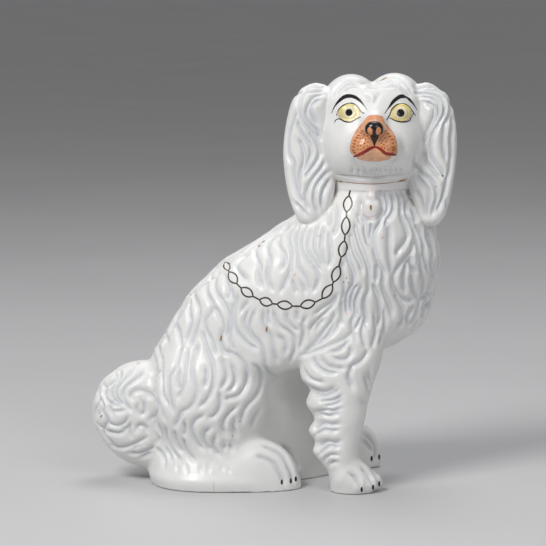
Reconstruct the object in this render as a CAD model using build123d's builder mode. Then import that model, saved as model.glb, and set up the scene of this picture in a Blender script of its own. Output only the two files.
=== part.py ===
"""Seated spaniel figurine in glazed earthenware, pressed in two-piece moulds and luted together.

The dog sits along +X with its head turned to face -Y. The origin is on the floor, at the
middle of the figure's length and depth. Right and left are the dog's own.
"""

from build123d import *
import os

os.makedirs("parts", exist_ok=True)

# Driving dimensions, in millimetres
WALL = 5.0              # thickness of a pressed shell
SLAB = 6.0              # thickness of the closing slab
NECK_LOW = 235.0        # lower edge of the collar
NECK_HIGH = 245.5       # upper edge of the collar
HEAD_X = 79.0           # middle of the head
COLLAR_PROUD = 3.0      # how far the collar stands out of the neck
VENT_RADIUS = 4.5       # firing vent in the closing slab

# Horizontal sections: height, middle x, middle y, half length in x, half depth in y
BODY = [
    (SLAB, -42, 0, 60, 58),
    (30, -45, 0, 55, 48),
    (60, -46, 0, 53, 46),
    (85, -36, 0, 62, 47),
    (100, -16, 0, 81, 49),
    (115, 4, 0, 93, 50),
    (135, 24, 0, 100, 51),
    (155, 34, 0, 96, 51),
    (175, 46, 0, 86, 49),
    (193, 58, 0, 74, 46),
    (207, 68, 0, 61, 41),
    (219, 76, -1, 44, 35),
    (NECK_LOW, 78, -2, 30, 29),
]
HEAD = [
    (NECK_HIGH, 78, -2, 30, 29),
    (254, 79, -4, 35, 33),
    (266, HEAD_X, -5, 38, 36),
    (282, HEAD_X, -3, 39, 37),
    (298, HEAD_X, 0, 38, 35),
    (311, HEAD_X, 2, 33, 30),
    (320, HEAD_X, 3, 22, 20),
]
FRONT_LEG = [
    (6, 58, -50, 14, 13),
    (30, 50, -49, 18, 15),
    (60, 52, -46, 22, 16),
    (85, 53, -42, 27, 19),
    (105, 54, -38, 32, 21),
    (125, 57, -33, 31, 22),
    (150, 58, -26, 26, 20),
]
RIGHT_EAR = [
    (210, 31, -8, 7, 6),
    (222, 28, -9, 13, 11),
    (245, 28, -10, 19, 13),
    (270, 25, -9, 17, 14),
    (290, 26, -7, 15, 13),
    (306, 29, -4, 13, 11),
    (316, 31, -2, 8, 7),
]
LEFT_EAR = [
    (211, 128, -6, 6, 6),
    (222, 128, -7, 11, 10),
    (245, 126, -8, 17, 13),
    (270, 128, -7, 16, 14),
    (290, 128, -5, 15, 13),
    (306, 126, -3, 13, 11),
    (316, 123, -1, 8, 7),
]

MUZZLE = [
    (257, 78, -33, 12, 18),
    (266, 78, -36, 18, 23),
    (275, 78, -37, 17, 24),
    (285, 78, -36, 11, 21),
    (295, 79, -33, 6, 13),
]

# Spheroids: middle, radius across XZ, half depth in y
HAUNCH = ((-50, -24, 66), 46, 34)
TAIL_MIDDLE = (-103, 0, 54)
TAIL_TURN = 24          # radius of the curl's own centre line
TAIL_THICK = (19, 24)   # the brush's half thickness across the curl and in depth
TAIL_TIP = 34           # thickness of the tip that fills the middle of the curl
NOSE = ((78, -55, 286), 7, 8)
EYES = {"right_eye": (59.5, -29.5, 296), "left_eye": (99.5, -28, 296)}
EYE_RADIUS, EYE_DEPTH = 8.5, 7.5
CROWN = {"right": (62, 2, 299), "left": (96, 2, 300)}
CROWN_RADIUS, CROWN_DEPTH = 25.0, 28.0

# The belly wall closes the figure between the right hind foot and the left front leg
WALL_PLAN = [(-20, 38), (-20, -18), (20, -20), (47, 14), (66, 38)]
WALL_HIGH = 112.0

# Feet: middle of the foot on the floor, then half length, half width and height
FRONT_FOOT = ((64, -50), 20, 16, 27)
HIND_FOOT = ((-12, -38), 33, 19, 38)
FRONT_TOES = [(68, -61), (74, -55), (75, -47)]
HIND_TOES = [(8, -50), (12, -41), (9, -33)]
TOE_SIZE = (11, 6.5, 17)

PADLOCK = (77, -39, 220)        # middle of the lock's case
PADLOCK_CASE = (15, 9, 17)      # width, depth and height
SHACKLE_RADIUS = 5.5


def stack(sections, thinner=0.0):
    """One solid lofted through elliptical sections, each drawn smaller by thinner."""
    with BuildPart() as form:
        for height, x, y, half_x, half_y in sections:
            with BuildSketch(Plane.XY.offset(height)):
                with Locations((x, y)):
                    Ellipse(half_x - thinner, half_y - thinner)
        loft()
    return form.part


def spheroid(middle, radius, depth):
    """A ball made deeper or shallower along Y."""
    with BuildPart() as form:
        Sphere(1)
        scale(by=(radius, depth, radius))
    return form.part.moved(Location(middle))


def dome(spot, half_x, half_y, height):
    """The upper half of an ellipsoid that stands on the floor at spot."""
    with BuildPart() as form:
        Sphere(1)
        scale(by=(half_x, half_y, height))
        split(bisect_by=Plane.XY, keep=Keep.TOP)
    return form.part.moved(Location((spot[0], spot[1], 0)))


def flipped(bulge):
    """The same spheroid on the dog's other side."""
    (x, y, z), radius, depth = bulge
    return (x, -y, z), radius, depth


def finish(part, name):
    """Labels one piece and writes it."""
    part.label = name
    export_step(part, f"parts/{name}.step")


# Outer and inner form of the hollow body, shared by its two pressed halves
with BuildPart() as body_form:
    add(stack(BODY))
    add(spheroid(*HAUNCH))
    add(spheroid(*flipped(HAUNCH)))
    with BuildSketch(Plane.XY.offset(SLAB)):
        Polygon(*WALL_PLAN, align=None)
    extrude(amount=WALL_HIGH - SLAB)
    split(bisect_by=Plane.XY.offset(SLAB), keep=Keep.TOP)

with BuildPart() as body_core:
    add(stack(BODY, WALL))
    for middle, radius, depth in (HAUNCH, flipped(HAUNCH)):
        add(spheroid(middle, radius - WALL, depth - WALL))
    with BuildSketch(Plane.XY.offset(SLAB)):
        Polygon(*WALL_PLAN, align=None)
        offset(amount=-WALL, kind=Kind.INTERSECTION)
    extrude(amount=WALL_HIGH - SLAB)
    split(bisect_by=Plane.XY.offset(SLAB), keep=Keep.TOP)

with BuildPart() as right_body_shell:
    add(body_form.part)
    add(body_core.part, mode=Mode.SUBTRACT)
    split(bisect_by=Plane.XZ, keep=Keep.TOP)
with BuildPart() as left_body_shell:
    add(body_form.part)
    add(body_core.part, mode=Mode.SUBTRACT)
    split(bisect_by=Plane.XZ, keep=Keep.BOTTOM)


# Head: one hollow form on the neck, pressed in a face half and a back half
with BuildPart() as neck_form:
    with BuildSketch(Plane.XY.offset(NECK_LOW)):
        with Locations(BODY[-1][1:3]):
            Ellipse(*BODY[-1][3:])
    extrude(amount=NECK_HIGH - NECK_LOW)

with BuildPart() as head_form:
    add(neck_form.part)
    add(stack(HEAD))
    for middle in CROWN.values():
        add(spheroid(middle, CROWN_RADIUS, CROWN_DEPTH))

with BuildPart() as neck_core:
    with BuildSketch(Plane.XY.offset(NECK_LOW)):
        with Locations(BODY[-1][1:3]):
            Ellipse(BODY[-1][3] - WALL, BODY[-1][4] - WALL)
    extrude(amount=NECK_HIGH - NECK_LOW)

with BuildPart() as head_core:
    add(neck_core.part)
    add(stack(HEAD[:-1], WALL))

with BuildPart() as face_shell:
    add(head_form.part)
    add(head_core.part, mode=Mode.SUBTRACT)
    split(bisect_by=Plane.XZ, keep=Keep.TOP)

with BuildPart() as back_head_shell:
    add(head_form.part)
    add(head_core.part, mode=Mode.SUBTRACT)
    split(bisect_by=Plane.XZ, keep=Keep.BOTTOM)

# Collar: a band round the neck between the body and the head
with BuildPart() as collar:
    with BuildSketch(Plane.XY.offset(NECK_LOW)):
        with Locations(BODY[-1][1:3]):
            Ellipse(BODY[-1][3] + COLLAR_PROUD, BODY[-1][4] + COLLAR_PROUD)
    extrude(amount=NECK_HIGH - NECK_LOW)
    add(neck_form.part, mode=Mode.SUBTRACT)

# Padlock: a case and a shackle knob that hang from the collar on the chest
with BuildPart() as padlock:
    with Locations(PADLOCK):
        Box(*PADLOCK_CASE)
    fillet(padlock.edges().filter_by(Axis.Y), PADLOCK_CASE[0] * 0.35)
    with Locations((PADLOCK[0], PADLOCK[1], NECK_LOW - SHACKLE_RADIUS)):
        Sphere(SHACKLE_RADIUS)
    add(body_form.part, mode=Mode.SUBTRACT)
    add(collar.part, mode=Mode.SUBTRACT)

# Face: two eye domes, the muzzle and the nose, each seated on what is behind it
eyes = {}
for name, middle in EYES.items():
    with BuildPart() as eye:
        add(spheroid(middle, EYE_RADIUS, EYE_DEPTH))
        add(head_form.part, mode=Mode.SUBTRACT)
    eyes[name] = eye.part

with BuildPart() as muzzle:
    add(stack(MUZZLE))
    add(head_form.part, mode=Mode.SUBTRACT)

with BuildPart() as nose:
    add(spheroid(*NOSE))
    add(stack(MUZZLE), mode=Mode.SUBTRACT)
    add(head_form.part, mode=Mode.SUBTRACT)

# Ears: solid lobes that hang from the crown and rest on the neck
ears = {}
for name, sections in (("right_ear", RIGHT_EAR), ("left_ear", LEFT_EAR)):
    with BuildPart() as ear:
        add(stack(sections))
        add(head_form.part, mode=Mode.SUBTRACT)
        add(collar.part, mode=Mode.SUBTRACT)
        add(body_form.part, mode=Mode.SUBTRACT)
    ears[name] = ear.part

# Tail: a brush curled once against the rump
with BuildPart() as tail:
    with BuildSketch(Plane.XY):
        with Locations((TAIL_TURN, 0)):
            Ellipse(*TAIL_THICK)
        Rectangle(TAIL_TURN, TAIL_TIP, align=(Align.MIN, Align.CENTER))
    revolve(axis=Axis.Y)
tail_curl = tail.part.moved(Location(TAIL_MIDDLE))
with BuildPart() as tail:
    add(tail_curl)
    add(body_form.part, mode=Mode.SUBTRACT)

# Closing slab, cut to the plan of the body, with the firing vent
with BuildPart() as base_slab:
    with BuildSketch(Plane.XY):
        with Locations(BODY[0][1:3]):
            Ellipse(BODY[0][3] - 1, BODY[0][4] - 1)
        Polygon(*WALL_PLAN, align=None)
    extrude(amount=SLAB)
    with Locations((BODY[0][1], 0, SLAB)):
        Hole(VENT_RADIUS)

# Right front leg: pressed alone and luted under the shoulder, so that it stands free
with BuildPart() as right_leg_form:
    add(stack(FRONT_LEG))
    add(dome(*FRONT_FOOT))
    for spot in FRONT_TOES:
        add(dome(spot, *TOE_SIZE))
with BuildPart() as right_front_leg:
    add(right_leg_form.part)
    add(body_form.part, mode=Mode.SUBTRACT)
    add(base_slab.part, mode=Mode.SUBTRACT)

# Left front leg: the same leg on the other side, pressed against the belly wall
with BuildPart() as left_front_leg:
    add(mirror(right_leg_form.part, Plane.XZ))
    add(body_form.part, mode=Mode.SUBTRACT)
    add(base_slab.part, mode=Mode.SUBTRACT)

# Hind feet: long domes with their toes, one on each side of the base
with BuildPart() as hind_foot_form:
    add(dome(*HIND_FOOT))
    for spot in HIND_TOES:
        add(dome(spot, *TOE_SIZE))
with BuildPart() as right_hind_foot:
    add(hind_foot_form.part)
    add(body_form.part, mode=Mode.SUBTRACT)
    add(base_slab.part, mode=Mode.SUBTRACT)
with BuildPart() as left_hind_foot:
    add(mirror(hind_foot_form.part, Plane.XZ))
    add(body_form.part, mode=Mode.SUBTRACT)
    add(base_slab.part, mode=Mode.SUBTRACT)

for name, part in {
    "right_body_shell": right_body_shell.part,
    "left_body_shell": left_body_shell.part,
    "base_slab": base_slab.part,
    "face_shell": face_shell.part,
    "back_head_shell": back_head_shell.part,
    "collar": collar.part,
    "padlock": padlock.part,
    "muzzle": muzzle.part,
    "nose": nose.part,
    "tail": tail.part,
    "right_front_leg": right_front_leg.part,
    "left_front_leg": left_front_leg.part,
    "right_hind_foot": right_hind_foot.part,
    "left_hind_foot": left_hind_foot.part,
    **eyes,
    **ears,
}.items():
    finish(part, name)
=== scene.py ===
"""Visual model of the seated spaniel: press-moulded, thickly glazed earthenware with painted enamels.

One smooth form is described by distance fields in millimetres, meshed, and carved with the hair
grooves. It is then divided into the same pieces as the CAD model. The enamels are thin closed
layers draped over it. Positions marked "seen" are (x, z) in the plane y = 0, as the camera sees them.
"""
import math

import bmesh
import bpy
import numpy as np
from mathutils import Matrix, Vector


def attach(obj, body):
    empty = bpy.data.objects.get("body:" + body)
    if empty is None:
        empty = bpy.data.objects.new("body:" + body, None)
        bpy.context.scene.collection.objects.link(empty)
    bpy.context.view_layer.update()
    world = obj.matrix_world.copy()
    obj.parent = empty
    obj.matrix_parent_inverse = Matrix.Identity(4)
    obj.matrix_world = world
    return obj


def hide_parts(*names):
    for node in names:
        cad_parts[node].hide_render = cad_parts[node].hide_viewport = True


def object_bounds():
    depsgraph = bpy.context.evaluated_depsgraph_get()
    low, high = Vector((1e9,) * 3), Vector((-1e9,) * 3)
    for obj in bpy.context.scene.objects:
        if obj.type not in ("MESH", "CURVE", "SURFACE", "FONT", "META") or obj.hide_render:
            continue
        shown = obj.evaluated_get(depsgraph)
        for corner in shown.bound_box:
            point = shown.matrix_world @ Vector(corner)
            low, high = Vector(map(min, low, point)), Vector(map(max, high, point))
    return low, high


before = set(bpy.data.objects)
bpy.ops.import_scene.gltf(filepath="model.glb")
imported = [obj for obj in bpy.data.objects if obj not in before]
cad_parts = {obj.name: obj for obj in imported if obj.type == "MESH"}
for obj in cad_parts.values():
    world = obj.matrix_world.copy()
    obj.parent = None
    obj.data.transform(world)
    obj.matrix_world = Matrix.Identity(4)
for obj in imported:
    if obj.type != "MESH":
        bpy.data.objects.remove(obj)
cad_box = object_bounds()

import openvdb
from mathutils import Vector
from mathutils.bvhtree import BVHTree

MM = 0.001
VOXEL = 1.7                             # spacing of the distance grid; the mesh ends up twice as fine
MARGIN, NEARBY = 8, 6                   # the grid's room round the CAD, and how far its distances reach
EYE = np.array([0.0, -2100.0, 445.0])   # the camera's place
TILT = math.radians(82.435)             # the camera's turn about X
LENS, SENSOR = 175.0, 36.0

# ---------------------------------------------------------------- forms
# Rows of (z, x low, x high, y mid, half y)
TORSO = [
    (-4, -97, 13, 0, 57), (2, -99, 15, 0, 59), (8, -100, 16, 0, 59), (15, -98, 13, 0, 55),
    (26, -96, 7, 0, 50), (45, -96, 2, 0, 48), (62, -97, 0, 0, 47), (78, -98, 3, 0, 47),
    (90, -98, 20, 0, 47), (100, -97, 62, 0, 48), (107, -94, 93, 0, 49), (114, -90, 106, 0, 50),
    (122, -85, 117, 0, 50), (132, -79, 125, 0, 51), (146, -70, 129, 0, 51), (158, -60, 130, 0, 51),
    (168, -50, 133, 0, 50), (178, -38, 134, 0, 49), (188, -22, 133, 0, 47), (198, -6, 131, 0, 44),
    (208, 9, 128, 0, 41), (218, 26, 121, -1, 37), (228, 42, 111, -2, 32), (236, 48.5, 107.5, -2, 30),
    (246, 49, 107, -2, 30),
]
HEAD = [
    (238, 50, 107, -2, 29), (246, 48, 108, -3, 30), (254, 45, 111.5, -4, 33), (264, 42.5, 114.5, -5, 35.5),
    (276, 41, 117, -4, 37), (288, 41, 117, -3, 37.5), (300, 42, 116, -1, 36), (308, 45, 113, 1, 33),
    (314, 52, 106, 2, 28),
]
NEAR_LEG = [
    (2, 47, 70, -50, 12), (14, 44, 69, -50, 13), (23, 37.6, 68.5, -50, 14), (31, 31.5, 67.5, -50, 15),
    (39.5, 33, 68.3, -49, 15), (48, 28.3, 70.3, -48, 15.5), (57, 32.4, 72.2, -47, 16),
    (69, 26, 74.8, -45, 17), (79, 29, 77.7, -43, 18.5), (88, 22.5, 80.5, -41, 20), (98, 21, 84, -39, 21),
    (112, 22, 87, -35, 22), (130, 27, 87, -29, 22), (150, 34, 84, -22, 20),
]
RIGHT_EAR = [
    (207.5, 27, 33, -24, 3), (210, 22, 37, -24, 6), (214, 18.5, 41, -24, 8), (221, 15.5, 44, -23, 10),
    (232, 12, 48, -19, 12), (247, 9, 49, -14, 13), (262, 8, 46.5, -11, 13), (276, 8.8, 44, -9, 13),
    (290, 11, 44, -8, 13), (301, 14, 44, -7, 13), (308, 17.5, 46, -5, 12), (313.5, 23, 45, -3, 9),
    (316.5, 28, 41, -2, 5), (318, 32, 36, -2, 1.5),
]
LEFT_EAR = [
    (206.5, 122, 128, -22, 3), (209, 118, 131.5, -22, 6), (213, 115, 134.5, -22, 8),
    (221, 112.5, 137.8, -20, 10),
    (232, 108, 140.5, -17, 12), (247, 106.5, 143.5, -13, 13), (262, 108.5, 145, -10, 13),
    (276, 111.5, 145, -9, 13), (290, 112, 143.5, -8, 13), (301, 114, 141, -7, 13),
    (308, 111, 138, -5, 12), (313.5, 111, 132, -3, 9),
    (316.5, 114, 127, -2, 5), (318, 119, 123, -2, 1.5),
]

# Ellipsoids: middle, half sizes. The haunch and the hind foot are mirrored in y for the far side.
HAUNCH = ((-50, -26, 67), (46, 31, 46))
TAIL = ((-104, 0, 55), (41.5, 26, 40.5))
TAIL_STEM = ((-88, 0, 33), (42, 23, 26))
CROWN = [((62, 3, 299), (24, 28, 25.5)), ((96, 3, 300), (24, 28, 25.5))]
CHEEKS = [((62, -16, 268), (20, 23, 22)), ((96, -16, 268), (20, 23, 22))]
HIND_FOOT = ((-12, -37, 0), (34.5, 20, 38.5))
FAR_FOOT = ((70, 46, 8), (18.5, 13, 27))
NEAR_FOOT = ((63, -52, 6), (17, 14, 19))
NEAR_TOES = [((58, -57, 11), (66, -61.5, 6.5)), ((62, -52, 13), (75, -57.5, 7)),
             ((65, -49, 13), (79.5, -50.5, 7))]
TOE_RADII = (10, 6.6)
LIPS = [((71.3, -42, 270), (12.5, 17, 13.5)), ((86.5, -42, 270), (12.5, 17, 13.5))]
CHIN = ((79, -40, 262.5), (12.5, 13, 8))
BRIDGE = ((79, -28, 294), (78, -50, 284), 8.5, 9.5)
NOSE = ((77.9, -57.5, 286), (7.6, 6.2, 6.2))
EYES = {"right_eye": ((59.5, -29, 296.3), (9.3, 5.4, 7.8)),
        "left_eye": ((99.6, -28.5, 296.3), (9.3, 5.4, 7.8))}
COLLAR_Z = (235.0, 243.0, 245.6)        # foot of the band, foot of the bead, top of the bead
COLLAR_PROUD = (2.2, 3.2)               # how far the band and the bead stand out from the neck
LOCK_CASE = ((77.3, -33.8, 221.3), (8.6, 4.8, 9.0))
LOCK_KNOB = ((77.3, -33.6, 230.6), (4.3, 3.8, 4.3))
VENT_X, VENT_RADIUS = (TORSO[0][1] + TORSO[0][2]) / 2, 4.5
SLAB = 6                                # the base slab's thickness
SHELL = 3.2                             # the wall of the hollow shells
WALL_LINE = [(22, -18), (47, 16), (64, 40)]   # the belly wall's foot, hind foot to far front foot
WALL_TURNS = (14, 44)                   # how round the wall's corners are
WALL_Y, WALL_TOP, WALL_BACK = (-24, 40), 104, -40

# Fillets between forms, and the grooves' limits
BODY_FILLET, CROWN_FILLET, CHEEK_FILLET, LIP_FILLET, CHIN_FILLET = 9, 3.5, 16, 5, 3
TOE_FILLET, NEAR_ANKLE, FAR_ANKLE, TAIL_FILLET = 2.5, 5, 6, 8
OVERLAP, LAP = 8.0, 0.2                 # how far beside a groove its lock stands out, and how much
JUMP, SHORTEST = 6, 3                   # a jump in depth that ends a groove; points it needs more than
ACROSS = 14                             # how far a mirrored point may lie from the surface
COMBED = (3.0, 5.0)                     # depth and half width of the grooves that the photo doesn't show

# ---------------------------------------------------------------- hair grooves, as seen
BACK = [
    [(16, 212), (6, 205), (-5, 197.5), (-15, 189.5), (-21, 184.5), (-25, 180)],
    [(12, 207), (7, 200), (-2, 195), (-10, 189.5), (-14.5, 184), (-13, 178), (-10.5, 171), (-11.5, 163),
     (-9, 155)],
    [(14, 205), (6, 199), (-2, 193), (-5, 188), (-4.5, 183), (-3, 178), (-4, 171), (-5, 165), (-4, 159),
     (0, 152)],
    [(17.5, 206), (14, 201), (12, 196), (13, 190), (14.6, 186), (14.6, 179), (13.4, 171), (12, 164),
     (6, 150)],
    [(5, 196), (4, 190), (8.5, 182.5), (9.7, 176), (7, 169)],
    [(-19, 182), (-25, 178), (-29, 174), (-29.5, 171), (-26.5, 166), (-21, 161)],
    [(14, 162), (17.5, 155), (19, 149)],
    [(-42, 174.5), (-49, 169.5), (-55, 165), (-60, 160.5), (-67, 155), (-72, 150), (-77, 142), (-83, 135)],
    [(-45, 171), (-51, 166), (-57, 160), (-62, 154), (-63.5, 149), (-60, 140), (-59.5, 132), (-61, 124),
     (-64, 114), (-67, 107)],
    [(-66, 145), (-67.5, 140), (-67.5, 134), (-66.5, 128), (-67.5, 121), (-71.5, 110)],
    [(-70, 144), (-73.5, 139), (-77.5, 132), (-78.5, 125), (-76, 119), (-73.5, 107)],
    [(-79, 138), (-83, 131), (-87, 126), (-87, 118.5), (-84, 110)],
    [(-88, 124), (-92, 117), (-93, 110), (-91, 102)],
    [(-49, 166), (-52, 160), (-54, 155), (-53, 149), (-50, 144), (-49, 139), (-51, 134), (-54, 129),
     (-55, 124), (-53, 118), (-49, 111), (-45.5, 100)],
    [(-43, 169), (-46.5, 163), (-47, 156), (-45, 150), (-41.5, 145), (-38, 139), (-35.5, 133), (-35, 126),
     (-37, 113)],
    [(-49, 140), (-44, 134), (-41, 127), (-40, 120), (-42, 113), (-41, 106), (-38.5, 100)],
    [(-39, 164.5), (-36.5, 157), (-36, 150), (-38, 144)],
    [(-34, 155), (-33, 149), (-31, 143), (-32.5, 137), (-33.5, 131), (-33, 124), (-34.5, 117), (-34, 110),
     (-30, 102)],
    [(-28.5, 149.5), (-29, 145), (-30.5, 139), (-31, 133), (-31, 126), (-29, 120), (-26, 115), (-20, 109),
     (-12, 104)],
    [(-19.5, 144), (-23.5, 139), (-26, 134)],
    [(-19.5, 137), (-22, 130.5), (-22.5, 125), (-20, 119), (-16, 113), (-10, 108), (-7, 102)],
    [(-13.6, 136), (-17.5, 129.5), (-18.5, 122), (-16, 115.5), (-11, 110.5), (-8, 104), (-6.2, 96),
     (-5.4, 89.5), (-2, 84.5), (4, 81)],
    [(-7, 136), (-7.5, 128), (-5, 120), (-1.3, 113.7), (0.7, 107), (2, 99.5), (4.4, 92.5)],
    [(-3.5, 137), (-4, 130), (-2.5, 123)],
    [(1, 136), (2, 130), (6, 123), (12, 119), (16.5, 114.5), (18, 108.5), (17, 102), (14.5, 97), (13, 92)],
    [(11.5, 135), (12.5, 127.5), (16, 122), (21, 118.5)],
    [(4, 115.5), (8, 112), (10.5, 107), (11, 100)],
    [(27, 131), (24, 125), (24.5, 119.5), (24, 113), (21, 104)],
    [(20, 137), (20, 131), (22, 127)],
]
SHOULDER = [
    [(26, 205), (23, 198), (22, 190), (23.5, 183), (27, 178), (33, 171)],
    [(30.6, 203), (28.3, 195), (27.5, 187), (30, 180.5), (34.5, 174.5), (39, 167)],
    [(35, 206), (33.7, 198), (32.9, 190), (34.4, 183), (38, 177), (40, 171)],
    [(40.5, 204), (39, 195), (38, 187.5), (39.8, 181), (42.8, 170)],
    [(44, 200), (45, 192), (46, 185), (46, 177), (43.5, 170)],
    [(48, 223), (50.5, 216), (50.5, 208.5), (49.7, 202), (47, 196)],
    [(43.5, 216), (46, 210), (45, 204)],
    [(20, 204), (17.5, 196), (18.5, 188), (20, 180), (20.5, 172), (24, 166), (28, 159), (31, 151)],
    [(30, 174), (34.5, 168), (36.7, 161.5), (34.5, 155), (31, 150)],
    [(22, 160), (25, 154), (26, 149)],
    [(52, 149), (47.5, 143), (40.5, 138), (33, 132)],
    [(52, 148), (48.7, 141), (43, 134.5), (36.5, 128.5), (31.5, 123), (29.5, 118)],
    [(49.5, 135), (48, 128.5), (43, 122), (38, 115.5), (34.8, 111), (28, 103.5)],
    [(42, 129.5), (37, 124.5), (34.8, 119)],
    [(50.5, 127), (46, 119.5), (40.5, 112), (32.5, 107), (25, 101.5)],
    [(55.2, 145), (55.5, 132), (55, 123)],
    [(57, 176), (55, 168), (57, 160), (57.5, 152), (55, 143)],
]
CHEST = [
    [(85, 232), (87, 225.5), (88, 218), (86.4, 212.4), (82.5, 208.6)],
    [(88.6, 231), (91, 225.5), (92, 221), (91, 215.5), (88, 211), (84.8, 205.5), (82, 200.8),
     (80.6, 194.7), (81, 188.5), (82.5, 181.5), (84.4, 175)],
    [(93, 231), (96, 226), (96.6, 220), (94.7, 214), (91, 208.5), (90.5, 202)],
    [(98.5, 231), (101.6, 226.3), (102.4, 220), (102.4, 214), (104.7, 207), (107, 201), (107.7, 195.5),
     (104.7, 190), (101, 185.4), (98, 180)],
    [(102.4, 231), (106.2, 225.5), (106.6, 218), (107.7, 211.6), (110.8, 207), (113, 201), (114.2, 194.7),
     (112.3, 188.5), (110, 182.3), (106, 177.7), (102, 173), (98.5, 167.6), (96.6, 162), (96.6, 156),
     (99.3, 150.7), (103, 146), (107.7, 143.7), (113, 144.5)],
    [(109.3, 177.7), (106.2, 170.7), (104.7, 163.8), (104.7, 156), (106, 150.5)],
    [(92, 205.5), (93, 198), (92.8, 190), (93.2, 182), (94, 174), (95.5, 165)],
    [(82.5, 179), (86, 172), (88.6, 167), (88.2, 159), (88.6, 153), (91, 147), (94, 140.6), (96, 132)],
    [(65.3, 207), (66.5, 199.3), (68.8, 191.6), (71.8, 184), (75, 176), (76.8, 168.4), (77.2, 160),
     (76.4, 152), (74, 146), (73.4, 139), (75, 130), (74, 122)],
    [(70.3, 211.7), (73.4, 205.5), (74, 199.3), (75.7, 193), (76.4, 188)],
    [(78, 207), (78.7, 201), (78, 193), (79, 186)],
    [(70.3, 226.3), (69.5, 219.4), (70.3, 214), (75, 209.3), (79.5, 208)],
    [(67.3, 216), (68.8, 210), (71, 205)],
    [(62, 199.3), (62.7, 193), (64.2, 185.4), (67.3, 179), (70.3, 173), (72, 166)],
    [(60.4, 188.5), (59.6, 182.3), (61, 176), (63.4, 170), (65, 164), (64.2, 157.6), (62, 153.8),
     (59.6, 148), (59, 140), (60, 132)],
    [(68.8, 157), (65.7, 153), (63.4, 147.5), (62.7, 141.5), (64, 134)],
    [(71, 156), (68.8, 150), (66.5, 144.5), (66, 137), (68, 130)],
    [(79.5, 158), (82.5, 151.4), (84.8, 146), (85.6, 138.3), (86, 130), (84, 122)],
    [(84, 174), (83.3, 165.3), (82.5, 158)],
    [(110.8, 165.3), (111.5, 158.4), (113, 152), (116, 147), (118, 144)],
    [(110, 181), (110.4, 173), (113, 168.4), (115.5, 166)],
    [(114.2, 195.5), (116, 188.5), (117.7, 181.5), (118.5, 174.6), (119.2, 167), (120.8, 160),
     (121.5, 154)],
    [(120.8, 191.6), (121, 184), (122.3, 176), (124.6, 168)],
    [(123, 201), (126, 194.7), (127.7, 187.7), (128.5, 181), (127, 174.6), (127.7, 168.4), (130, 162)],
    [(113, 206), (117.7, 199.3), (120, 192)],
    [(127.7, 151), (122.3, 147.5), (119, 143)],
    [(128.5, 143), (123, 139), (120.8, 133.7), (121, 128)],
    [(114.6, 138.3), (110.8, 136), (108, 130), (109, 124)],
    [(98, 149), (102.4, 143), (105, 136), (104, 128), (100, 121)],
    [(110, 219), (113, 213), (114, 206)],
]
BREAST_FOOT = [
    [(22, 98.8), (31.9, 102.6), (45.8, 107.9), (59.7, 114.5), (67.7, 123.6), (71.7, 132.8)],
    [(65.7, 133.8), (63.3, 123.6), (66.9, 113)],
    [(74, 131.3), (71.7, 117.5), (75.2, 104.1)],
    [(81.6, 133.8), (82.8, 119.5), (79.2, 105.3)],
    [(88.8, 137.8), (89.8, 123.6), (85.2, 108.6)],
    [(53.8, 129.7), (51.4, 122.6), (44.8, 115.5), (35.5, 110.2)],
]
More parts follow.
